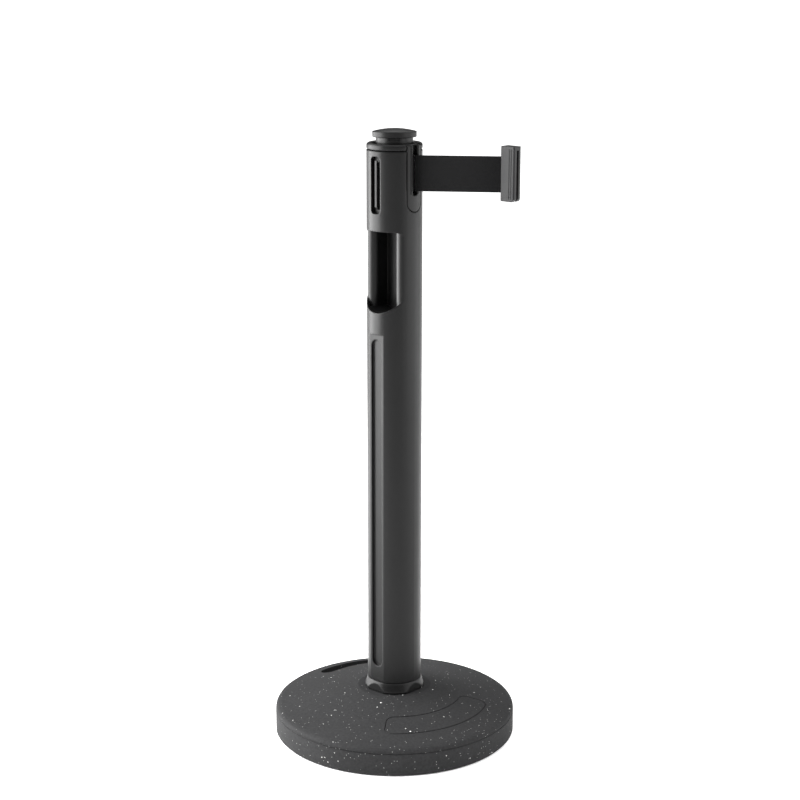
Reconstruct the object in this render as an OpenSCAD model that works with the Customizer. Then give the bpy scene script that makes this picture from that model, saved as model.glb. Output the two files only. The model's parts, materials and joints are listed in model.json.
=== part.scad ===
// Retractable belt stanchion, in millimetres.
// Origin: centre of the base's underside. +Z is up the post.
// +X points out of the belt exit, -Y is the side with the hand grip and the long groove.
// Each named node is one real piece, or one group of identical fasteners.

/* [Overall] */
// Height from the floor to the top of the cap
overall_height = 965; // [920:1:1020]
// Diameter of the rubber base
base_d = 383; // [340:1:420]
// Height of the base's side wall, up to the lip line
base_wall_h = 36; // [28:1:44]
// Height of the base where the post stands on it
base_centre_h = 73; // [68:1:82]
// Outside diameter of the post
post_d = 85; // [82:0.5:92]
// Wall of the post tube
post_wall = 4; // [3.5:0.1:5]

/* [Base details] */
// Width of the curved hand slot in the base
hand_slot_w = 28; // [20:1:30]
// Radius of the middle of the curved hand slot
hand_slot_r = 152; // [145:1:156]
// Angle that the hand slot spans
hand_slot_span = 48; // [40:1:60]
// Depth of the line around the plain panel on the dome
panel_line_depth = 1.2; // [0.8:0.1:2]

/* [Post details] */
// Width of the long groove
groove_w = 21; // [16:0.5:23]
// Depth of the long groove below its flat
groove_depth = 4; // [2:0.5:4.5]
// Width of the hand grip pocket
grip_w = 40; // [36:1:42]
// Height of the hand grip pocket
grip_h = 125; // [110:1:135]
// Distance from the post's axis to the floor of the hand grip pocket, behind the axis
grip_back = 6; // [0:0.5:10]
// Radius of the rounded lips beside the hand grip pocket
grip_lip_r = 10; // [8:0.5:11]
// Width of a receiver pocket
receiver_w = 18.4; // [17:0.1:20]
// How much taller a receiver pocket is than the clip
receiver_room = 4; // [3.5:0.5:8]
// Depth of a receiver pocket
receiver_depth = 10; // [9:0.1:10.5]

/* [Belt] */
// Width of the belt
belt_w = 54; // [46:0.5:56]
// Thickness of the belt on the roll
belt_t = 0.55; // [0.45:0.05:0.65]
// Length of belt wound on the spool, with the clip pulled out as shown
belt_wound = 2000; // [1600:10:2100]
// Length of belt shown outside, from the exit to the pin in the clip
belt_out = 140; // [100:1:170]
// Angle between the belt and the exit's centre line as shown
belt_angle = 36.5; // [0:0.5:45]

/* [Clip] */
// How far the clip runs past each edge of the belt
clip_rim = 14; // [12:0.25:14.25]
// Thickness of the clip
clip_t = 16.6; // [15:0.2:17]
// Length of the clip from its pin to its tip
clip_reach = 17.5; // [17:0.5:20]
// Length of the clip behind its pin
clip_nose = 10; // [9:0.5:11]
// Width of the clip's slot
clip_slot_w = 4.6; // [4.2:0.1:5.2]

/* [Fits] */
// Radial clearance of a piece that turns on a pin
running_fit = 0.05; // [0.02:0.01:0.1]
// Gap between fixed mouldings
seat_gap = 0.3; // [0.1:0.05:0.5]
// Gap beside pieces that pass each other
moving_gap = 1; // [0.5:0.1:1.5]

/* [Hidden] */
eps = 0.01;
$fn = 96;

post_r = post_d / 2;
bore_r = post_r - post_wall;
base_r = base_d / 2;

// Heights up the post
foot_ring_h = 17;
tube_z0 = base_centre_h + foot_ring_h;
cap_edge_z = overall_height - 5;
collar_z1 = overall_height - 21;
collar_z0 = collar_z1 - 8.5;
tube_z1 = collar_z0 - 1.5;
belt_z = tube_z1 - belt_w / 2 - 6;
belt_z0 = belt_z - belt_w / 2;
belt_z1 = belt_z + belt_w / 2;
clip_h = belt_w + 2 * clip_rim;
receiver_h = clip_h + receiver_room;
receiver_z = tube_z1 - receiver_h / 2 - 8;
receiver_z0 = receiver_z - receiver_h / 2;
grip_z0 = tube_z1 - 183 - grip_h / 2;
grip_z1 = grip_z0 + grip_h;
groove_z0 = tube_z0 + 25.5;
groove_z1 = tube_z1 - 287;

// Base
socket_r = 30;
bolt_r = 6;
seat_r = post_r + 7.5;
dome_slope = (base_centre_h - 44) / (base_r - seat_r - 8);
panel_r0 = 107;
panel_r1 = 152;
panel_half_angle = 43;
panel_angle = -10.5;
panel_corner_r = 14;
panel_line_w = 2;

// Foot
foot_r = post_r + 4.5;
plug_r = bore_r - seat_gap;
insert_r = 11;

// Post flat and groove
flat_at = post_r - 2.4;
groove_floor = flat_at - groove_depth;
pocket_back = 2.2;

// Hand grip: the lips' cylinders cut the post and the pocket's walls at a small angle
lip_inset = 0.98 * grip_lip_r;
lip_y = grip_w / 2 + lip_inset;
lip_x = sqrt(pow(post_r - lip_inset, 2) - lip_y * lip_y);
grip_wall = 3;
grip_bottom_r = 44;

// Cassette
hub_r = 20;
cup_r = 17.6;
roll_r = sqrt(hub_r * hub_r + belt_wound * belt_t / PI);
flange_r = roll_r + 0.9;
flange_t = 1.5;
axle_r = 4;
spool_z0 = belt_z0 - 0.7 - flange_t;
spool_z1 = belt_z1 + 0.7 + flange_t;
frame_t = 4;
frame_z1 = spool_z0 - moving_gap;
frame_z0 = frame_z1 - frame_t;
web_z0 = spool_z1 + 0.6;
web_t = 3;
web_z1 = web_z0 + web_t;
standoff_r = 1.6;
standoff_angles = [52, 142, 218, 308];
standoff_at = flange_r + moving_gap + standoff_r;

// Exit plate
exit_w = 31.6;
exit_gap = 1.3;
exit_z0 = belt_z0 - 32;
exit_z1 = collar_z1 - 1.5;
exit_t = 3;
exit_slot_w = 10;
exit_slot_z0 = belt_z0 - 6.5;
rail_w = 3;
rail_proud = 1.2;
pivot_x = post_r - 1.5;
low_screw_x = 33.2;
top_screw_x = 29.4;
top_screw_y = 12.5;

// Belt path from the roll to the exit
leave_angle = acos(roll_r / pivot_x);
roller_r = 2.5;
roller_bore = 1;
roller_back = 12.07;
roller_off = 3.41;
roller_x = pivot_x - roller_back * sin(leave_angle) + roller_off * cos(leave_angle);
roller_y = -roller_back * cos(leave_angle) - roller_off * sin(leave_angle);

// Clip
clip_z = belt_z + 1.5;
clip_z0 = clip_z - clip_h / 2;
clip_z1 = clip_z + clip_h / 2;
clip_pin_r = 1.5;
pin_x = pivot_x + belt_out * cos(belt_angle);
pin_y = belt_out * sin(belt_angle);
clip_slot_depth = 9;
clip_bar_t = 3;
clip_roof_h = 5.6;
clip_screw_x = 3.8;

// Receiver blade
receiver_corner = 6;
receiver_back_t = 2.4;
receiver_screw_y = 5.7;
screw_bore_x = post_r - 22.5;
blade_t = 3.6;
blade_reach = 8.6;
hook_h = 2.7;
saddle_gap = clip_bar_t + 0.5;
saddle_z = receiver_z0 + 0.7 + clip_h - clip_roof_h;

// Cap
cap_r = 28.6;
cap_ear_r = 33.5;
cap_ear_t = 7;
cap_dome_h = 4.6;
channel_r = 34;

module ring(r_out, r_in, h) {
    difference() {
        cylinder(r = r_out, h = h);
        translate([0, 0, -1]) cylinder(r = r_in, h = h + 2);
    }
}

// An upright slot along X with rounded ends, standing from z0 to z1, cut from x0 to x1
module round_slot(w, z0, z1, x0, x1) {
    translate([x0, 0, 0])
        rotate([90, 0, 90])
            linear_extrude(x1 - x0) {
                translate([0, z0 + w / 2]) circle(d = w);
                translate([0, z1 - w / 2]) circle(d = w);
                translate([-w / 2, z0 + w / 2]) square([w, z1 - z0 - w]);
            }
}

// A rounded rectangle centred on z, cut along X
module round_window(w, z0, z1, r, x0, x1) {
    translate([x0, 0, 0])
        rotate([90, 0, 90])
            linear_extrude(x1 - x0) {
                translate([-w / 2 + r, z0]) square([w - 2 * r, z1 - z0]);
                translate([-w / 2, z0 + r]) square([w, z1 - z0 - 2 * r]);
                for (y = [-w / 2 + r, w / 2 - r])
                    for (z = [z0 + r, z1 - r])
                        translate([y, z]) circle(r = r);
            }
}

module screw(shank_r, head_r, head_h, l) {
    difference() {
        union() {
            cylinder(r = head_r, h = head_h);
            translate([0, 0, -l]) cylinder(r = shank_r, h = l + eps);
        }
        translate([0, 0, head_h - 1]) cylinder(r = head_r * 0.45, h = 2, $fn = 6);
    }
}

// ---- Base ----

module dome_profile(drop) {
    polygon([
        [0, 0],
        [base_r - 3.5, 0],
        [base_r, 3.5],
        [base_r, base_wall_h],
        [base_r - 1.1, base_wall_h + 0.6],
        [base_r - 1.1, base_wall_h + 1.6],
        [base_r - 0.1, base_wall_h + 2.2],
        [base_r - 0.6, base_wall_h + 4.6],
        [base_r - 2, base_wall_h + 6.8],
        [base_r - 4.5, base_wall_h + 8.6 - drop],
        [base_r - 9, base_wall_h + 10.2 - drop],
        [seat_r + 8, base_wall_h + 10.2 - drop + dome_slope * (base_r - seat_r - 17)],
        [seat_r, base_centre_h - drop],
        [0, base_centre_h - drop]
    ]);
}

// Outline of the plain panel in plan: part of a ring with rounded corners
module panel_outline(inset) {
    r0 = panel_r0 + inset;
    r1 = panel_r1 - inset;
    c = panel_corner_r - inset;
    end = panel_half_angle - inset / panel_r1 * 180 / PI;
    end0 = end - asin(c / (r0 + c));
    end1 = end - asin(c / (r1 - c));
    polygon(concat(
        [for (i = [-11 : 11]) polar(r1, end1 * i / 12)],
        [for (t = [0 : 15 : 90]) polar(r1 - c, end1) + polar(c, end1 + t)],
        [for (t = [90 : 15 : 180]) polar(r0 + c, end0) + polar(c, end0 + t)],
        [for (i = [-11 : 11]) polar(r0, -end0 * i / 12)],
        [for (t = [180 : 15 : 270]) polar(r0 + c, -end0) + polar(c, t - end0)],
        [for (t = [270 : 15 : 360]) polar(r1 - c, -end1) + polar(c, t - end1)]
    ));
}

function polar(r, a) = [r * cos(a), r * sin(a)];

module panel_line() {
    difference() {
        translate([0, 0, base_wall_h])
            rotate([0, 0, panel_angle])
                linear_extrude(60)
                    difference() {
                        panel_outline(0);
                        panel_outline(panel_line_w);
                    }
        rotate_extrude() dome_profile(panel_line_depth);
    }
}

module rubber_base() {
    color("#3a3a3b")
        difference() {
            rotate_extrude() dome_profile(0);
            panel_line();
            translate([0, 0, base_centre_h - 19]) cylinder(r = socket_r + seat_gap, h = 30);
            translate([0, 0, -1]) cylinder(r = bolt_r + 1, h = 90);
            translate([0, 0, -1]) cylinder(r = 36, h = 17);
            translate([0, 0, -1]) ring(base_r - 26, 60, 3);
            rotate([0, 0, 155 - hand_slot_span / 2])
                rotate_extrude(angle = hand_slot_span)
                    translate([hand_slot_r - hand_slot_w / 2, 30]) square([hand_slot_w, 60]);
            for (side = [-1, 1])
                rotate([0, 0, 155 + side * hand_slot_span / 2])
                    translate([hand_slot_r, side * 0.2, 30]) cylinder(d = hand_slot_w - 2, h = 60);
        }
}

module base_washer() {
    color("#a8abad")
        translate([0, 0, 13]) ring(34, bolt_r + 0.6, 3);
}

module base_bolt() {
    color("#a8abad") {
        translate([0, 0, 5]) cylinder(r = 11, h = 8, $fn = 6);
        translate([0, 0, 12.9]) cylinder(r = bolt_r, h = base_centre_h + 2);
    }
}

// ---- Foot of the post ----

module post_foot() {
    color("#2b2b2c")
        difference() {
            union() {
                difference() {
                    rotate_extrude()
                        polygon([
                            [0, base_centre_h],
                            [foot_r - 1.2, base_centre_h],
                            [foot_r, base_centre_h + 2.5],
                            [foot_r - 0.4, base_centre_h + 5],
                            [post_r + 0.4, tube_z0 - 1.6],
                            [post_r - 0.8, tube_z0],
                            [0, tube_z0]
                        ]);
                    for (a = [0, 90, 180, 270])
                        rotate([0, 0, a])
                            translate([post_r + 1, -40, base_centre_h - 1])
                                cube([20, 80, foot_ring_h + 2]);
                }
                translate([0, 0, base_centre_h - 18.5]) cylinder(r = socket_r, h = 19);
                translate([0, 0, tube_z0 - eps]) cylinder(r = plug_r - pocket_back - 5, h = 60);
                translate([0, 0, tube_z0 - eps])
                    difference() {
                        cylinder(r = plug_r, h = 22);
                        translate([-50, -50 - groove_floor + 4.5, -1]) cube([100, 50, 40]);
                    }
            }
            translate([0, 0, tube_z0 + 12]) cylinder(r = 25, h = 60);
            translate([0, 0, 0]) cylinder(r = bolt_r + 0.3, h = 200);
            translate([0, 0, base_centre_h - 8.5]) cylinder(r = insert_r + 0.05, h = 40.5);
        }
}

module foot_insert() {
    color("#b79a5a")
        difference() {
            translate([0, 0, base_centre_h - 8.5])
                cylinder(r = insert_r, h = 36);
            cylinder(r = bolt_r + 0.02, h = 200);
        }
}

// ---- Post ----

module pocket_backs() {
    intersection() {
        translate([0, 0, tube_z0]) cylinder(r = post_r - 1, h = tube_z1 - tube_z0);
        union() {
            for (a = [90, 180, 270])
                rotate([0, 0, a])
                    translate([post_r - receiver_depth - pocket_back, -13, receiver_z0 - 4])
                        cube([20, 26, web_z0 - receiver_z0 + 4]);
            rotate([0, 0, 270]) {
                translate([-grip_back - grip_wall, -grip_w / 2 - grip_wall, grip_z0 - grip_wall])
                    cube([post_r + grip_back, grip_w + 2 * grip_wall, grip_h + 2 * grip_wall]);
                for (side = [-1, 1])
                    translate([lip_x, side * lip_y, grip_z0 - grip_wall])
                        cylinder(r = grip_lip_r, h = grip_h + 2 * grip_wall);
                translate([groove_floor - 3.5, -20, tube_z0])
                    cube([20, 40, groove_z1 + 15 - tube_z0]);
            }
        }
    }
}

// The grip pocket in plan, open on +X, with its two rounded lips
module grip_plan() {
    translate([-grip_back, -grip_w / 2]) square([post_r + 5 + grip_back, grip_w]);
    for (side = [-1, 1])
        difference() {
            polygon([
                [lip_x, side * grip_w * 0.45],
                [post_r + 5, side * grip_w * 0.45],
                [lip_x * 1.6, side * lip_y * 1.6],
                [lip_x, side * lip_y]
            ]);
            translate([lip_x, side * lip_y]) circle(r = grip_lip_r);
        }
}

module grip_pocket() {
    intersection() {
        translate([0, 0, grip_z0]) linear_extrude(grip_h) grip_plan();
        round_window(2 * post_r - 3, grip_z0, grip_z1, 14, -grip_back - 1, post_r + 6);
        union() {
            translate([-grip_back - 1, 0, grip_z0 + grip_bottom_r])
                rotate([0, 90, 0]) cylinder(r = grip_bottom_r, h = post_r + grip_back + 7);
            translate([-grip_back - 1, -50, grip_z0 + grip_bottom_r])
                cube([post_r + grip_back + 7, 100, grip_h]);
        }
    }
}

module post_tube() {
    color("#2b2b2c")
        difference() {
            union() {
                translate([0, 0, tube_z0]) ring(post_r, bore_r, tube_z1 - tube_z0 - 1);
                translate([0, 0, tube_z1 - 1 - eps])
                    rotate_extrude()
                        polygon([
                            [bore_r, 0],
                            [post_r, 0],
                            [post_r - 1, 1],
                            [bore_r, 1]
                        ]);
                pocket_backs();
            }
            for (a = [90, 180, 270])
                rotate([0, 0, a])
                    round_window(receiver_w, receiver_z0, receiver_z0 + receiver_h,
                                 receiver_corner, post_r - receiver_depth, post_r + 5);
            rotate([0, 0, 270]) {
                grip_pocket();
                translate([flat_at, -30, tube_z0 - 1]) cube([20, 60, groove_z1 + 9 - tube_z0]);
                round_slot(groove_w, groove_z0, groove_z1, groove_floor, post_r + 5);
            }
            round_window(exit_w, exit_z0, tube_z1 + 40, exit_w / 2 - 0.1, 30, post_r + 5);
            for (a = [90, 180, 270])
                rotate([0, 0, a])
                    for (side = [-1, 1])
                        translate([screw_bore_x, side * receiver_screw_y, receiver_z])
                            rotate([0, 90, 0]) cylinder(r = 1.2, h = 20);
        }
}

// ---- Receivers ----

// Standing in its pocket on +X: a back strip with a hooked blade
module receiver_shape() {
    floor_x = post_r - receiver_depth + 0.05;
    difference() {
        union() {
            round_window(receiver_w - 0.8, receiver_z0 + 0.4, receiver_z0 + receiver_h - 0.4,
                         receiver_corner - 0.4, floor_x, floor_x + receiver_back_t);
            translate([floor_x, -blade_t / 2, receiver_z0 + 6])
                cube([blade_reach, blade_t, saddle_z + hook_h - receiver_z0 - 6]);
        }
        translate([floor_x + receiver_back_t, -5, saddle_z])
            cube([saddle_gap, 10, 20]);
        translate([floor_x + blade_reach, -5, receiver_z0 + 6])
            rotate([0, 45, 0]) translate([-3, 0, -3]) cube([6, 10, 6]);
        for (side = [-1, 1])
            translate([screw_bore_x, side * receiver_screw_y, receiver_z]) {
                rotate([0, 90, 0]) cylinder(r = 1.2, h = 20);
                translate([floor_x + 0.8 - screw_bore_x, 0, 0])
                    rotate([0, 90, 0]) cylinder(r = 2.5, h = 20);
            }
    }
}

module receiver_front() {
    color("#1f1f20") rotate([0, 0, 270]) receiver_shape();
}

module receiver_back() {
    color("#1f1f20") rotate([0, 0, 90]) receiver_shape();
}

module receiver_side() {
    color("#1f1f20") rotate([0, 0, 180]) receiver_shape();
}

module receiver_screws() {
    color("#8f9294")
        for (a = [90, 180, 270])
            rotate([0, 0, a])
                for (side = [-1, 1])
                    translate([post_r - receiver_depth + 0.9, side * receiver_screw_y, receiver_z])
                        rotate([0, 90, 0]) screw(1.15, 2.3, 1.4, 2.9);
}

// ---- Belt cassette ----

module cassette_frame() {
    color("#232324")
        difference() {
            union() {
                translate([0, 0, frame_z0]) cylinder(r = flange_r + 0.8, h = frame_t);
                translate([0, 0, frame_z0])
                    intersection() {
                        cylinder(r = bore_r - 1.3, h = frame_t);
                        union() {
                            translate([10, -14, 0]) cube([40, 28, frame_t]);
                            for (a = standoff_angles)
                                rotate([0, 0, a]) translate([10, -4, 0]) cube([40, 8, frame_t]);
                        }
                    }
                translate([0, 0, frame_z0 - 8]) cylinder(r = 9, h = 9);
            }
            translate([0, 0, frame_z0 - 4]) cylinder(r = axle_r, h = 30);
            translate([roller_x, roller_y, frame_z0 - 1]) cylinder(r = roller_bore, h = 10);
            translate([low_screw_x, 0, frame_z0 - 1]) cylinder(r = 1.2, h = 10);
            for (a = standoff_angles)
                rotate([0, 0, a])
                    translate([standoff_at, 0, frame_z0 - 1]) cylinder(r = standoff_r, h = 10);
        }
}

module cassette_posts() {
    color("#a8abad")
        for (a = standoff_angles)
            rotate([0, 0, a])
                translate([standoff_at, 0, frame_z0 - 2]) {
                    cylinder(r = standoff_r, h = web_z1 - frame_z0 + 2.3);
                    cylinder(r = standoff_r + 1, h = 1.9);
                    translate([0, 0, frame_t + 2.1])
                        cylinder(r = standoff_r + 0.6, h = web_z0 - frame_z1 - 0.2);
                }
}

module exit_plate_outline(grow) {
    translate([-exit_w / 2 - grow, exit_z0 + exit_w / 2])
        square([exit_w + 2 * grow, exit_z1 - exit_z0 - exit_w / 2]);
    translate([0, exit_z0 + exit_w / 2]) circle(r = exit_w / 2 + grow);
}

module exit_plate() {
    color("#2b2b2c")
        difference() {
            union() {
                intersection() {
                    translate([0, 0, exit_z0 - 5]) ring(post_r, bore_r - 1, 110);
                    translate([25, 0, 0])
                        rotate([90, 0, 90])
                            linear_extrude(30) exit_plate_outline(-exit_gap);
                }
                intersection() {
                    translate([0, 0, exit_z0]) ring(post_r + rail_proud, bore_r, 110);
                    for (y = [exit_slot_w / 2 + 0.7, -exit_slot_w / 2 - 0.7 - rail_w])
                        translate([30, y, exit_slot_z0 + 2])
                            cube([20, rail_w, exit_z1 - exit_slot_z0 - 2]);
                }
                intersection() {
                    translate([0, 0, frame_z0 - 3]) ring(bore_r - 0.2, flange_r + 1.2, 2.9);
                    translate([25, -9, frame_z0 - 3]) cube([20, 18, 3]);
                }
                intersection() {
                    translate([0, 0, web_z0 - 3.1]) ring(bore_r - 0.2, flange_r + 1.3, 3);
                    translate([25, 9, web_z0 - 4]) cube([20, 6, 5]);
                }
            }
            round_window(exit_slot_w, exit_slot_z0, exit_z1 + 5, 2, bore_r - 2, post_r + 5);
            translate([low_screw_x, 0, frame_z0 - 5]) cylinder(r = 1.2, h = 6);
            translate([top_screw_x, top_screw_y, web_z0 - 5]) cylinder(r = 1.2, h = 6);
            translate([post_r + 0.6, 0, 0])
                rotate([0, 0, 45])
                    translate([-4.6, -4.6, exit_slot_z0 + 2])
                        cube([9.2, 9.2, exit_z1 - exit_slot_z0]);
            translate([roller_x, roller_y, exit_slot_z0 - 3])
                cylinder(r = roller_r + 1, h = web_z0 + 3 - exit_slot_z0);
        }
}

module exit_screws() {
    color("#8f9294") {
        translate([top_screw_x, top_screw_y, web_z1]) screw(1.15, 1.8, 1.3, 5.6);
        translate([low_screw_x, 0, frame_z0 - 3.1]) mirror([0, 0, 1]) screw(1.15, 2.2, 1.5, 6);
    }
}

module collar() {
    color("#2b2b2c")
        difference() {
            union() {
                rotate_extrude()
                    polygon([
                        [channel_r, web_z0],
                        [bore_r - 0.4, web_z0],
                        [bore_r - 0.4, collar_z0 - 0.6],
                        [post_r - 0.8, collar_z0],
                        [post_r, collar_z0 + 1],
                        [post_r, collar_z1 - 3.2],
                        [post_r - 0.8, collar_z1 - 1.2],
                        [post_r - 2.4, collar_z1],
                        [post_r - 6, collar_z1 + 0.3],
                        [channel_r, collar_z1 - 1.2]
                    ]);
                translate([0, 0, web_z0]) cylinder(r = channel_r + 1, h = web_t);
                translate([0, 0, web_z0]) cylinder(r = 12, h = web_t + 3);
            }
            translate([0, 0, web_z0 - 1]) cylinder(r = axle_r, h = 20);
            translate([roller_x, roller_y, web_z0 - 1]) cylinder(r = roller_bore, h = 2.6);
            for (a = standoff_angles)
                rotate([0, 0, a])
                    translate([standoff_at, 0, web_z0 - 1]) cylinder(r = standoff_r, h = 10);
            translate([top_screw_x, top_screw_y, web_z0 - 1]) cylinder(r = 1.2, h = 10);
            intersection() {
                translate([0, 0, web_z0 - 1]) ring(60, bore_r - 1.2, collar_z1 + 3 - web_z0);
                translate([25, -exit_w / 2 - 0.4, web_z0 - 2]) cube([30, exit_w + 0.8, 20]);
            }
        }
}

module spool_axle() {
    color("#a8abad")
        difference() {
            translate([0, 0, frame_z0 - 4]) cylinder(r = axle_r, h = web_z1 + 3 - frame_z0 + 4);
            translate([-0.35, -5, belt_z0]) cube([0.7, 10, 30]);
        }
}

// A flat spiral of half rings, each half a pitch wider than the one before
module mainspring() {
    pitch = 1.6;
    strip = 0.5;
    turns = 8;
    color("#6f7274")
        translate([0, 0, belt_z0 + 2])
            linear_extrude(26) {
                translate([-strip / 2, 0]) square([strip, axle_r + 0.9]);
                difference() {
                    for (i = [0 : 2 * turns - 1]) {
                        r = axle_r + 0.6 + i * pitch / 2;
                        side = i % 2 == 0 ? 1 : -1;
                        translate([-side * pitch / 4, 0])
                            intersection() {
                                difference() {
                                    circle(r = r + strip);
                                    circle(r = r);
                                }
                                translate([-40, side > 0 ? 0 : -40]) square([80, 40]);
                            }
                    }
                    circle(r = axle_r + 0.02);
                }
            }
}

module guide_roller() {
    color("#8f9294")
        translate([roller_x, roller_y, belt_z0 - 1])
            ring(roller_r, roller_bore + running_fit, belt_w + 2);
}

module roller_pin() {
    color("#a8abad")
        translate([roller_x, roller_y, frame_z0])
            cylinder(r = roller_bore, h = web_z0 + 1.5 - frame_z0);
}

module brake_pad() {
    color("#5a4b3f")
        translate([0, 0, frame_z1])
            intersection() {
                ring(flange_r - 1, hub_r + 2, 0.7);
                rotate([0, 0, 100]) translate([0, -10, 0]) cube([40, 20, 2]);
            }
}

module belt_run() {
    start_x = roll_r * cos(leave_angle);
    start_y = -roll_r * sin(leave_angle);
    run = sqrt(pivot_x * pivot_x - roll_r * roll_r);
    color("#151516")
        translate([start_x, start_y, belt_z0])
            rotate([0, 0, 90 - leave_angle])
                translate([0.4, -belt_t - 0.03, 0]) cube([run - 1.2, belt_t, belt_w]);
}

module spool() {
    color("#d8d8d4")
        difference() {
            union() {
                translate([0, 0, spool_z0]) cylinder(r = flange_r, h = flange_t);
                translate([0, 0, spool_z1 - flange_t]) cylinder(r = flange_r, h = flange_t);
                translate([0, 0, spool_z0]) cylinder(r = hub_r - 0.05, h = spool_z1 - spool_z0);
            }
            translate([0, 0, spool_z0 - 1]) cylinder(r = axle_r + running_fit, h = 100);
            translate([0, 0, spool_z0 + 2.5]) cylinder(r = cup_r, h = spool_z1 - spool_z0 - 5);
        }
}

module belt_roll() {
    color("#151516")
        translate([0, 0, belt_z0]) ring(roll_r, hub_r, belt_w);
}

// ---- Cap ----

module cap_outline() {
    lens_r = 37;
    intersection() {
        translate([0, lens_r - cap_r]) circle(r = lens_r);
        translate([0, cap_r - lens_r]) circle(r = lens_r);
        circle(r = cap_ear_r);
    }
}

module cap() {
    neck_z = web_z1 + 0.6;
    ear_z = cap_edge_z - cap_ear_t;
    color("#2b2b2c")
        rotate([0, 0, 43])
            difference() {
                union() {
                    translate([0, 0, neck_z]) cylinder(r = cap_r - 0.3, h = ear_z - neck_z + 1);
                    intersection() {
                        translate([0, 0, ear_z]) linear_extrude(20) cap_outline();
                        rotate_extrude()
                            polygon(concat(
                                [[0, ear_z - 1], [cap_ear_r + 2, ear_z - 1]],
                                [for (r = [cap_ear_r + 2 : -2 : 0])
                                    [r, overall_height - cap_dome_h * pow(r / cap_ear_r, 2)]],
                                [[0, overall_height]]
                            ));
                    }
                }
                translate([0, 0, neck_z - 1]) cylinder(r = cap_r - 4, h = 10);
                translate([0, 0, neck_z - 1])
                    cylinder(r = 5 + running_fit, h = overall_height - 4.8 - neck_z);
                translate([0, 0, overall_height - 9.2]) cylinder(r = 5.9, h = 1.4);
                for (side = [72, 252])
                    rotate([0, 0, side])
                        rotate_extrude(angle = 36)
                            translate([cap_r - 2.4, ear_z - 4.2]) square([5, 3.8]);
            }
}

module cap_spindle() {
    color("#a8abad")
        difference() {
            union() {
                translate([0, 0, web_z1 + 3]) cylinder(r = 5, h = overall_height - 6 - web_z1 - 3);
                translate([0, 0, overall_height - 9]) cylinder(r = 5.7, h = 1);
            }
            cylinder(r = axle_r + 0.02, h = web_z1 + 3);
        }
}

// ---- Belt and clip ----

module belt_strip() {
    color("#151516")
        translate([pivot_x, 0, belt_z0])
            rotate([0, 0, belt_angle])
                difference() {
                    union() {
                        translate([0, -0.6, 0]) cube([belt_out - 2, 1.2, belt_w]);
                        translate([belt_out, 0, 0]) cylinder(r = 2.8, h = belt_w);
                    }
                    translate([belt_out, 0, -1])
                        cylinder(r = clip_pin_r + running_fit, h = belt_w + 2);
                }
}

module clip_pin() {
    color("#a8abad")
        translate([pin_x, pin_y, belt_z0 - 6]) cylinder(r = clip_pin_r, h = belt_w + 12);
}

module clip_solid() {
    translate([pin_x, pin_y, 0])
        difference() {
            translate([-clip_nose, -clip_t / 2, clip_z0])
                cube([clip_nose + clip_reach, clip_t, clip_h]);
            // room for the belt's loop, and the flared mouth it swings in
            translate([0, 0, belt_z0 - 0.6]) cylinder(r = 3.4, h = belt_w + 1.2);
            translate([0, 0, belt_z0 - 0.6])
                linear_extrude(belt_w + 1.2)
                    polygon([
                        [0, -2],
                        [0, 2],
                        [-12, 11.9],
                        [-12, -11.9]
                    ]);
            translate([0, 0, belt_z0 - 6.2])
                cylinder(r = clip_pin_r + running_fit, h = belt_w + 12.4);
            // slot for the receiver's blade, with the crossbar left at the top of the tip
            translate([clip_reach - clip_slot_depth, -clip_slot_w / 2, clip_z0 - 1])
                cube([20, clip_slot_w, clip_h + 1 - clip_roof_h]);
            translate([clip_reach - clip_slot_depth, -clip_slot_w / 2, clip_z0 + 10])
                cube([clip_slot_depth - clip_bar_t, clip_slot_w, clip_h - 12]);
            // chamfers
            translate([clip_reach, -20, clip_z0])
                rotate([0, 45, 0]) translate([-3, 0, -3]) cube([6, 40, 6]);
            for (z = [clip_z0, clip_z1])
                translate([-clip_nose, -20, z])
                    rotate([0, 45, 0]) translate([-1.4, 0, -1.4]) cube([2.8, 40, 2.8]);
            for (side = [-1, 1]) {
                translate([clip_reach, side * clip_t / 2, clip_z0 - 1])
                    rotate([0, 0, 45]) translate([-1.2, -1.2, 0]) cube([2.4, 2.4, clip_h + 2]);
                translate([-clip_nose, side * clip_t / 2, clip_z0 - 1])
                    rotate([0, 0, 45]) translate([-1.8, -1.8, 0]) cube([3.6, 3.6, clip_h + 2]);
                // shallow flutes up the faces
                for (x = [7.6, 11.4])
                    translate([x, side * clip_t / 2 - 0.6, clip_z0 + 4])
                        cube([1.8, 1.2, clip_h - 8]);
            }
            for (z = clip_screw_zs())
                translate([clip_screw_x, 0, z])
                    rotate([-90, 0, 0]) {
                        translate([0, 0, 2.8 - clip_t / 2]) cylinder(r = 1.2, h = clip_t);
                        translate([0, 0, clip_t / 2 - 1.6]) cylinder(r = 2.5, h = 5);
                    }
        }
}

function clip_screw_zs() = [clip_z0 + 7.5, clip_z1 - 7.5];

module clip_half(side) {
    color("#303031")
        intersection() {
            clip_solid();
            translate([pin_x - 50, side > 0 ? pin_y : pin_y - 50, clip_z0 - 5])
                cube([100, 50, clip_h + 10]);
        }
}

module clip_left() {
    clip_half(1);
}

module clip_right() {
    clip_half(-1);
}

module clip_screws() {
    color("#8f9294")
        for (z = clip_screw_zs())
            translate([pin_x + clip_screw_x, pin_y + clip_t / 2 - 1.6, z])
                rotate([-90, 0, 0]) screw(1.15, 2.4, 1.4, clip_t - 4.8);
}

rubber_base();
base_washer();
base_bolt();
post_foot();
foot_insert();
post_tube();
receiver_front();
receiver_back();
receiver_side();
receiver_screws();
cassette_frame();
cassette_posts();
exit_plate();
exit_screws();
collar();
spool_axle();
mainspring();
guide_roller();
roller_pin();
brake_pad();
belt_run();
spool();
belt_roll();
cap();
cap_spindle();
belt_strip();
clip_pin();
clip_left();
clip_right();
clip_screws();
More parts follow.
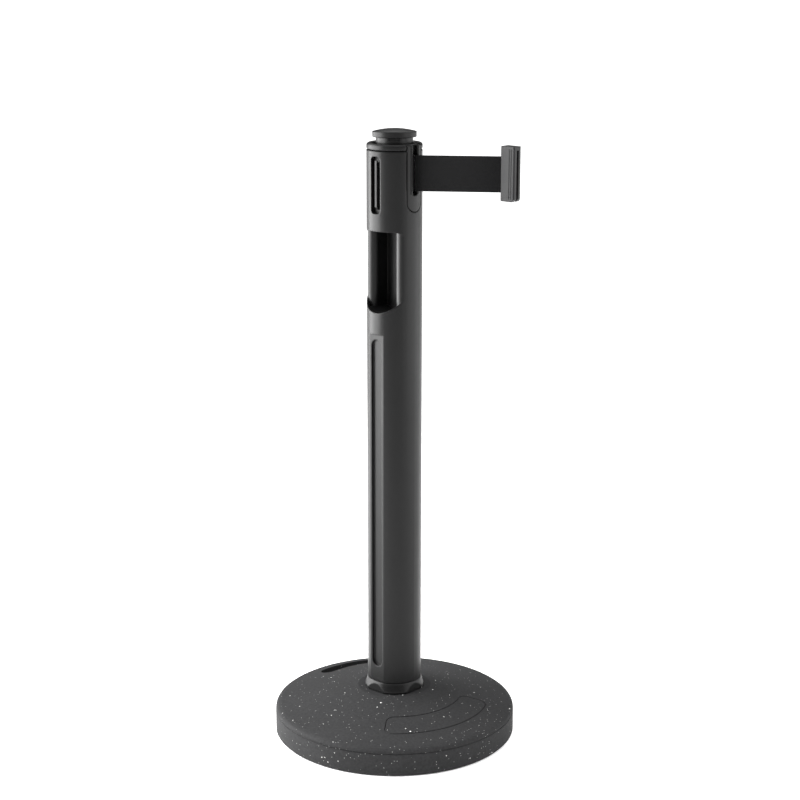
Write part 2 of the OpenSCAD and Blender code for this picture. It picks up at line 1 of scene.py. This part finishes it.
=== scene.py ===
"""Looks for the retractable belt stanchion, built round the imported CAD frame, in metres."""

import json
import math

import bpy
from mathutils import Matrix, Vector


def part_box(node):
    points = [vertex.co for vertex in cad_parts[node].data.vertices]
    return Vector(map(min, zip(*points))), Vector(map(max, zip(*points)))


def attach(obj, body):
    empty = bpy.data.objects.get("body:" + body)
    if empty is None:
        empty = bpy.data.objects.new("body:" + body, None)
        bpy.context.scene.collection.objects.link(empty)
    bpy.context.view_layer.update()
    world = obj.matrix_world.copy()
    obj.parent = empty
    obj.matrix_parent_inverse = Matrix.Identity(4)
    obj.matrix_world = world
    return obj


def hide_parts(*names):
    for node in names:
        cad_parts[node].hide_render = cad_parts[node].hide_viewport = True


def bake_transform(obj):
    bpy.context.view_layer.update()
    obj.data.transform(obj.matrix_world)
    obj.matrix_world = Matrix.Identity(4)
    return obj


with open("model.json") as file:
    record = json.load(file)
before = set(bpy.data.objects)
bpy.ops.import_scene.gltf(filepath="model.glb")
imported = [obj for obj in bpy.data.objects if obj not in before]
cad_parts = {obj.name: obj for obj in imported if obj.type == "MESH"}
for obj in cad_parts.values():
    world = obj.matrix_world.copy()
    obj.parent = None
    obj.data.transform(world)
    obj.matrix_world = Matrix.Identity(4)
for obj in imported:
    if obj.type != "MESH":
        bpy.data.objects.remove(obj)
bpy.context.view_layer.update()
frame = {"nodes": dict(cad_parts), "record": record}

MM = 0.001

# Sizes of the fine relief that materials carry
GRAIN_SCALE = 700.0
GRAIN_DEPTH = 0.08 * MM
CRUMB_DEPTH = 0.35 * MM
WEAVE_DEPTH = 0.15 * MM
SCRATCH_DEPTH = 0.05 * MM
FIBRE_DEPTH = 0.3 * MM

# Which way the belt leaves the post, and where, read from the frame
joints = {j["name"]: j for j in frame["record"]["behaviour"]["joints"]}
BELT_DIRECTION = Vector(joints["belt_pull"]["axis"])
EXIT = Vector(joints["belt_swing"]["pos_m"])
PIN = Vector(joints["clip_turn"]["pos_m"])
BELT_LOW, BELT_HIGH = (corner.z for corner in map(Vector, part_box("belt_strip")))


# ---- Materials ----


def new_material(name):
    material = bpy.data.materials.new(name)
    material.use_nodes = True
    nodes = material.node_tree.nodes
    return material, nodes, material.node_tree.links, nodes["Principled BSDF"]


def object_coordinates(nodes):
    return nodes.new("ShaderNodeTexCoord").outputs["Object"]


def noise(nodes, links, vector, scale, detail=3.0, roughness=0.5):
    node = nodes.new("ShaderNodeTexNoise")
    node.inputs["Scale"].default_value = scale
    node.inputs["Detail"].default_value = detail
    node.inputs["Roughness"].default_value = roughness
    links.new(vector, node.inputs["Vector"])
    return node.outputs["Fac"]


def ramp(nodes, links, value, low, high, colour_low, colour_high):
    node = nodes.new("ShaderNodeValToRGB")
    node.color_ramp.elements[0].position = low
    node.color_ramp.elements[1].position = high
    node.color_ramp.elements[0].color = (*colour_low, 1)
    node.color_ramp.elements[1].color = (*colour_high, 1)
    links.new(value, node.inputs["Fac"])
    return node.outputs["Color"]


def scaled(nodes, links, value, low, high):
    node = nodes.new("ShaderNodeMapRange")
    node.inputs["To Min"].default_value = low
    node.inputs["To Max"].default_value = high
    links.new(value, node.inputs["Value"])
    return node.outputs["Result"]


def maths(nodes, links, operation, a, b):
    node = nodes.new("ShaderNodeMath")
    node.operation = operation
    for socket, value in zip(node.inputs, (a, b)):
        if isinstance(value, (int, float)):
            socket.default_value = value
        else:
            links.new(value, socket)
    return node.outputs["Value"]


def bump(nodes, links, shader, height, strength, distance, edge_radius=0.0):
    """Bumps the shader's surface; edge_radius softens the part's sharp edges."""
    node = nodes.new("ShaderNodeBump")
    node.inputs["Strength"].default_value = strength
    node.inputs["Distance"].default_value = distance
    links.new(height, node.inputs["Height"])
    if edge_radius:
        bevel = nodes.new("ShaderNodeBevel")
        bevel.samples = 6
        bevel.inputs["Radius"].default_value = edge_radius
        links.new(bevel.outputs["Normal"], node.inputs["Normal"])
    links.new(node.outputs["Normal"], shader.inputs["Normal"])


def grained_plastic(name, shade, roughness, edge_radius, specular=0.5):
    """A moulded plastic with a fine spark-eroded grain."""
    material, nodes, links, shader = new_material(name)
    where = object_coordinates(nodes)
    cloud = noise(nodes, links, where, 14.0, 4.0)
    dark = tuple(c * 0.88 for c in shade)
    light = tuple(c * 1.12 for c in shade)
    links.new(ramp(nodes, links, cloud, 0.3, 0.7, dark, light), shader.inputs["Base Color"])
    smear = noise(nodes, links, where, 60.0, 3.0)
    links.new(scaled(nodes, links, smear, roughness - 0.05, roughness + 0.05),
              shader.inputs["Roughness"])
    fine = noise(nodes, links, where, GRAIN_SCALE, 2.0)
    shader.inputs["Specular IOR Level"].default_value = specular
    bump(nodes, links, shader, fine, 0.35, GRAIN_DEPTH, edge_radius)
    return material


def flecked_rubber():
    """Moulded recycled rubber: dark crumb with scattered pale flecks of several sizes."""
    material, nodes, links, shader = new_material("flecked_rubber")
    where = object_coordinates(nodes)
    crumb = noise(nodes, links, where, 260.0, 6.0, 0.7)
    cloud = noise(nodes, links, where, 9.0, 4.0)
    body = ramp(nodes, links, crumb, 0.25, 0.8, (0.011, 0.011, 0.0114), (0.024, 0.024, 0.0248))
    tint = ramp(nodes, links, cloud, 0.3, 0.7, (0.9, 0.9, 0.9), (1.1, 1.1, 1.1))
    mixed = nodes.new("ShaderNodeMix")
    mixed.data_type = "RGBA"
    mixed.blend_type = "MULTIPLY"
    mixed.inputs["Factor"].default_value = 1.0
    links.new(body, mixed.inputs["A"])
    links.new(tint, mixed.inputs["B"])
    colour = mixed.outputs["Result"]
    # cell size, share of cells with a fleck, fleck radius in cells, fleck shade
    for scale, share, radius, shade in ((330.0, 0.10, 0.26, 0.22), (170.0, 0.05, 0.22, 0.45),
                                        (95.0, 0.035, 0.17, 0.8)):
        cells = nodes.new("ShaderNodeTexVoronoi")
        cells.inputs["Scale"].default_value = scale
        links.new(where, cells.inputs["Vector"])
        ragged = maths(nodes, links, "ADD", cells.outputs["Distance"],
                       maths(nodes, links, "MULTIPLY", crumb, 0.12))
        near = maths(nodes, links, "LESS_THAN", ragged, radius)
        pick = nodes.new("ShaderNodeSeparateColor")
        links.new(cells.outputs["Color"], pick.inputs["Color"])
        chosen = maths(nodes, links, "LESS_THAN", pick.outputs["Red"], share)
        fleck = nodes.new("ShaderNodeMix")
        fleck.data_type = "RGBA"
        links.new(maths(nodes, links, "MULTIPLY", near, chosen), fleck.inputs["Factor"])
        links.new(colour, fleck.inputs["A"])
        fleck.inputs["B"].default_value = (shade, shade, shade * 0.97, 1)
        colour = fleck.outputs["Result"]
    links.new(colour, shader.inputs["Base Color"])
    links.new(scaled(nodes, links, cloud, 0.68, 0.82), shader.inputs["Roughness"])
    shader.inputs["Specular IOR Level"].default_value = 0.15
    bump(nodes, links, shader, crumb, 0.3, CRUMB_DEPTH, 1.5 * MM)
    return material


def woven_belt():
    """Black twill webbing: ribs along the belt, crossed by fine picks."""
    material, nodes, links, shader = new_material("woven_belt")
    where = object_coordinates(nodes)
    ribs = nodes.new("ShaderNodeTexWave")
    ribs.bands_direction = "Z"
    ribs.inputs["Scale"].default_value = 160.0
    ribs.inputs["Distortion"].default_value = 0.4
    ribs.inputs["Detail"].default_value = 1.0
    links.new(where, ribs.inputs["Vector"])
    turn = nodes.new("ShaderNodeMapping")
    turn.inputs["Rotation"].default_value = (0, 0, -math.atan2(BELT_DIRECTION.y, BELT_DIRECTION.x))
    links.new(where, turn.inputs["Vector"])
    picks = nodes.new("ShaderNodeTexWave")
    picks.bands_direction = "DIAGONAL"
    picks.inputs["Scale"].default_value = 190.0
    links.new(turn.outputs["Vector"], picks.inputs["Vector"])
    weave = maths(nodes, links, "MULTIPLY", ribs.outputs["Fac"], picks.outputs["Fac"])
    fuzz = noise(nodes, links, where, 900.0, 2.0)
    height = maths(nodes, links, "ADD", weave, maths(nodes, links, "MULTIPLY", fuzz, 0.4))
    links.new(ramp(nodes, links, weave, 0.0, 1.0, (0.003, 0.003, 0.0032), (0.007, 0.007, 0.0075)),
              shader.inputs["Base Color"])
    links.new(scaled(nodes, links, fuzz, 0.75, 0.95), shader.inputs["Roughness"])
    shader.inputs["Specular IOR Level"].default_value = 0.1
    shader.inputs["Sheen Weight"].default_value = 0.03
    bump(nodes, links, shader, height, 0.5, WEAVE_DEPTH)
    return material


def metal(name, shade, roughness, scale):
    """A metal whose tone and polish drift a little; scale sets how fast."""
    material, nodes, links, shader = new_material(name)
    where = object_coordinates(nodes)
    shader.inputs["Metallic"].default_value = 1.0
    cloud = noise(nodes, links, where, scale, 3.0)
    dark = tuple(c * 0.85 for c in shade)
    links.new(ramp(nodes, links, cloud, 0.3, 0.7, dark, shade), shader.inputs["Base Color"])
    links.new(scaled(nodes, links, cloud, roughness - 0.06, roughness + 0.06),
              shader.inputs["Roughness"])
    scratches = noise(nodes, links, where, 1500.0, 1.0)
    bump(nodes, links, shader, scratches, 0.1, SCRATCH_DEPTH, 0.2 * MM)
    return material


def felt():
    """Matted brown fibres, for the brake pad."""
    material, nodes, links, shader = new_material("felt")
    where = object_coordinates(nodes)
    fibres = noise(nodes, links, where, 800.0, 5.0, 0.8)
    links.new(ramp(nodes, links, fibres, 0.3, 0.8, (0.07, 0.06, 0.05), (0.16, 0.13, 0.11)),
              shader.inputs["Base Color"])
    shader.inputs["Roughness"].default_value = 1.0
    bump(nodes, links, shader, fibres, 0.8, FIBRE_DEPTH)
    return material


MATERIALS = {
    "black_plastic": grained_plastic("post_plastic", (0.004, 0.004, 0.0041), 0.36, 2.5 * MM, 0.2),
    "receiver_plastic": grained_plastic("insert_plastic", (0.008, 0.008, 0.008), 0.45, 0.3 * MM, 0.2),
    "clip_plastic": grained_plastic("clip_plastic", (0.018, 0.018, 0.0185), 0.38, 0.6 * MM, 0.14),
    "white_plastic": grained_plastic("spool_plastic", (0.62, 0.62, 0.58), 0.45, 0.3 * MM),
    "base_rubber": flecked_rubber(),
    "webbing": woven_belt(),
    "felt": felt(),
    "steel": metal("zinc_plated_steel", (0.58, 0.59, 0.60), 0.32, 180.0),
    "spring_steel": metal("blued_spring_steel", (0.30, 0.32, 0.36), 0.28, 90.0),
    "brass": metal("turned_brass", (0.68, 0.50, 0.24), 0.30, 220.0),
}

slots = {s["node"]: s["material_slot"] for s in frame["record"]["subparts"]}
for name, node in frame["nodes"].items():
    node.data.materials.clear()
    node.data.materials.append(MATERIALS[slots[name]])


# ---- Belt ----

WEB_T = 0.8 * MM  # thickness of the webbing
WEB_EDGE = 1.0 * MM  # thickness of its bound edges
EDGE_W = 2.2 * MM  # width of a bound edge
LOOP_R = 1.95 * MM  # radius of the loop round the clip's pin, at the webbing's middle
FOLD = 15.5 * MM  # how far the end is folded back from the pin
FOLD_OFF = WEB_T * 1.05  # from the middle of one layer of the fold to the other
TURN = 4.2 * MM  # length over which the layers spread to the loop

# Bound edge from its rim inwards: share of its width, and share of the edge's thickness
EDGE_PROFILE = ((0.0, 0.25), (0.12, 0.42), (0.5, 0.5), (0.88, 0.42))
EDGE_FOOT = WEB_T * 1.38 * 0.36  # half thickness where the bound edge meets the webbing

STITCH = 2.4 * MM
STITCH_PITCH = 3.4 * MM
THREAD_R = 0.16 * MM
STITCH_ROWS = (0.85, 0.95)  # shares of the fold, from the pin
STITCH_INSET = 3 * MM
STITCH_SIDES = (-WEB_T / 2, WEB_T * 1.55)
# A stitch from end to end: share of its length, and share of the thread's radius
STITCH_PROFILE = ((0.0, 0.3), (0.25, 1.0), (0.75, 1.0), (1.0, 0.3))
THREAD_SIDES = 6


def mesh_object(name, vertices, faces, material, smooth=True):
    mesh = bpy.data.meshes.new(name)
    mesh.from_pydata(vertices, [], faces)
    mesh.validate()
    for polygon in mesh.polygons:
        polygon.use_smooth = smooth
    mesh.materials.append(material)
    made = bpy.data.objects.new(name, mesh)
    bpy.context.scene.collection.objects.link(made)
    return made


def eased(t):
    """Smooth step from 0 to 1."""
    return t * t * (3 - 2 * t)


def belt_path(length):
    """Middle line of the webbing, as (along, aside): straight, round the pin, back over the fold."""
    points = [(0.0, 0.0), (length - FOLD - TURN, 0.0), (length - FOLD, 0.0)]
    steps = [i / 8 for i in range(1, 9)]
    for t in steps:
        points.append((length - TURN * (1 - t), -LOOP_R * eased(t)))
    for i in range(1, 13):
        angle = -math.pi / 2 + math.pi * i / 12
        points.append((length + LOOP_R * math.cos(angle), LOOP_R * math.sin(angle)))
    for t in steps:
        points.append((length - TURN * t, LOOP_R + (FOLD_OFF - LOOP_R) * eased(t)))
    points.append((length - FOLD, FOLD_OFF))
    return points


def belt_rows():
    """Heights across the webbing and its half thickness there: a thicker bound edge each side."""
    width = BELT_HIGH - BELT_LOW
    rim = [(EDGE_W * t, half * WEB_EDGE) for t, half in EDGE_PROFILE] + [(EDGE_W, EDGE_FOOT)]
    middle = [(EDGE_W + (width - 2 * EDGE_W) * i / 12, WEB_T / 2) for i in range(1, 12)]
    return rim + middle + [(width - z, half) for z, half in reversed(rim)]


def make_belt():
    """The webbing outside the post, as one closed mesh of two faces, two edges and two ends."""
    length = (PIN - EXIT).length
    path = belt_path(length)
    rows = belt_rows()
    side = Vector((-BELT_DIRECTION.y, BELT_DIRECTION.x, 0))
    vertices = []
    for i, (along, aside) in enumerate(path):
        before, after = path[max(i - 1, 0)], path[min(i + 1, len(path) - 1)]
        run = Vector((after[0] - before[0], after[1] - before[1])).normalized()
        normal = Vector((-run.y, run.x))
        for sign in (-1, 1):
            for z, half in rows:
                a = along + normal.x * half * sign
                s = aside + normal.y * half * sign
                spot = Vector((EXIT.x, EXIT.y, BELT_LOW + z)) + BELT_DIRECTION * a + side * s
                vertices.append(spot)
    count = len(rows)
    ring = 2 * count
    faces = []
    for i in range(len(path) - 1):
        for j in range(count - 1):
            a = i * ring + j
            faces.append((a, a + 1, a + ring + 1, a + ring))
            b = a + count
            faces.append((b, b + ring, b + ring + 1, b + 1))
        for j in (0, count - 1):
            a, b = i * ring + j, i * ring + count + j
            quad = (a, a + ring, b + ring, b)
            faces.append(quad if j == 0 else quad[::-1])
    for i in (0, len(path) - 1):
        for j in range(count - 1):
            a = i * ring + j
            quad = (a, a + count, a + count + 1, a + 1)
            faces.append(quad if i == 0 else quad[::-1])
    belt = mesh_object("belt", vertices, faces, MATERIALS["webbing"])
    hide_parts("belt_strip")
    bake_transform(belt)


def make_stitches():
    """Rows of thread across the fold that holds the loop."""
    side = Vector((-BELT_DIRECTION.y, BELT_DIRECTION.x, 0))
    vertices, faces = [], []
    for row in STITCH_ROWS:
        along = PIN - BELT_DIRECTION * (FOLD * row)
        for aside in STITCH_SIDES:
            z = BELT_LOW + STITCH_INSET
            while z + STITCH < BELT_HIGH - 2.5 * MM:
                base = len(vertices)
                for k, grow in STITCH_PROFILE:
                    for n in range(THREAD_SIDES):
                        angle = math.tau * n / THREAD_SIDES
                        spot = Vector((along.x, along.y, z + STITCH * k))
                        spot += BELT_DIRECTION * (THREAD_R * 1.3 * math.cos(angle))
                        spot += side * (aside + THREAD_R * grow * math.sin(angle))
                        vertices.append(spot)
                for k in range(len(STITCH_PROFILE) - 1):
                    for n in range(THREAD_SIDES):
                        a = base + THREAD_SIDES * k + n
                        b = base + THREAD_SIDES * k + (n + 1) % THREAD_SIDES
                        faces.append((a, b, b + THREAD_SIDES, a + THREAD_SIDES))
                z += STITCH_PITCH
    stitches = mesh_object("belt_stitches", vertices, faces, MATERIALS["webbing"])
    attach(stitches, "belt_end")


make_belt()
make_stitches()


# ---- Floor, light and camera ----

CAMERA_AZIMUTH = 43.0
CAMERA_DISTANCE = 2.851
CAMERA_HEIGHT = 1.260
CAMERA_PITCH = 14.08
LENS = 85.17
SHIFT = 0.0069

FLOOR_HALF = 30.0
SUN_STRENGTH = 3.7
SUN_SPREAD = math.radians(120)
ROOM_GLOW = 0.13  # strength of the white surroundings as a light
BOX_HEIGHT = 0.9  # the softboxes' height above the floor, in metres
BOX_AIM = 0.5  # and the height they point at
BOX_TALL = 2.2


def place(obj, location, target):
    obj.location = location
    obj.rotation_mode = "QUATERNION"
    obj.rotation_quaternion = (Vector(target) - Vector(location)).to_track_quat("-Z", "Y")


def polar(azimuth, distance, height):
    """A point round the post. Azimuth 0 is on -Y and 90 is on +X."""
    a = math.radians(azimuth)
    return Vector((distance * math.sin(a), -distance * math.cos(a), height))


def softbox(name, azimuth, distance, width, power):
    """An upright panel light, at an azimuth measured from the camera's."""
    data = bpy.data.lights.new(name, "AREA")
    data.shape = "RECTANGLE"
    data.size = width
    data.size_y = BOX_TALL
    data.energy = power
    light = bpy.data.objects.new(name, data)
    bpy.context.scene.collection.objects.link(light)
    place(light, polar(CAMERA_AZIMUTH + azimuth, distance, BOX_HEIGHT), (0, 0, BOX_AIM))


def make_sun():
    """Even, very soft light from above, which keeps the whole floor white."""
    data = bpy.data.lights.new("overhead", "SUN")
    data.energy = SUN_STRENGTH
    data.angle = SUN_SPREAD
    sun = bpy.data.objects.new("overhead", data)
    bpy.context.scene.collection.objects.link(sun)
    place(sun, (0, 0, 3), (0, 0.01, 0))


def make_floor():
    """A wide plain floor, pale enough to read as white."""
    h = FLOOR_HALF
    corners = [(-h, -h, 0), (h, -h, 0), (h, h, 0), (-h, h, 0)]
    floor = mesh_object("floor", corners, [(0, 1, 2, 3)], floor_material(), smooth=False)


def floor_material():
    material, nodes, links, shader = new_material("pale_floor")
    cloud = noise(nodes, links, object_coordinates(nodes), 0.7, 2.0)
    links.new(ramp(nodes, links, cloud, 0.2, 0.8, (0.90, 0.90, 0.90), (0.93, 0.93, 0.93)),
              shader.inputs["Base Color"])
    shader.inputs["Roughness"].default_value = 0.95
    shader.inputs["Specular IOR Level"].default_value = 0.1
    shader.inputs["Emission Color"].default_value = (1, 1, 1, 1)
    shader.inputs["Emission Strength"].default_value = 0.25
    return material


def make_world():
    """White where the camera sees it, and dim as a light, so that dark plastic stays dark."""
    world = bpy.data.worlds.new("studio")
    bpy.context.scene.world = world
    world.use_nodes = True
    nodes, links = world.node_tree.nodes, world.node_tree.links
    dim = nodes["Background"]
    dim.inputs["Color"].default_value = (1, 1, 1, 1)
    dim.inputs["Strength"].default_value = ROOM_GLOW
    white = nodes.new("ShaderNodeBackground")
    white.inputs["Color"].default_value = (1, 1, 1, 1)
    path = nodes.new("ShaderNodeLightPath")
    mixed = nodes.new("ShaderNodeMixShader")
    links.new(path.outputs["Is Camera Ray"], mixed.inputs["Fac"])
    links.new(dim.outputs["Background"], mixed.inputs[1])
    links.new(white.outputs["Background"], mixed.inputs[2])
    links.new(mixed.outputs["Shader"], nodes["World Output"].inputs["Surface"])


def make_camera():
    data = bpy.data.cameras.new("camera")
    data.sensor_width = 36.0
    data.lens = LENS
    data.shift_x = SHIFT
    data.clip_end = 100.0
    camera = bpy.data.objects.new("camera", data)
    bpy.context.scene.collection.objects.link(camera)
    location = polar(CAMERA_AZIMUTH, CAMERA_DISTANCE, CAMERA_HEIGHT)
    drop = CAMERA_DISTANCE * math.tan(math.radians(CAMERA_PITCH))
    place(camera, location, (0, 0, CAMERA_HEIGHT - drop))
    bpy.context.scene.camera = camera


make_floor()
make_world()
make_sun()
softbox("left_box", -94, 1.8, 2.4, 190)
softbox("right_box", 82, 2.2, 3.4, 52)
make_camera()
bpy.context.scene.view_settings.view_transform = "Standard"
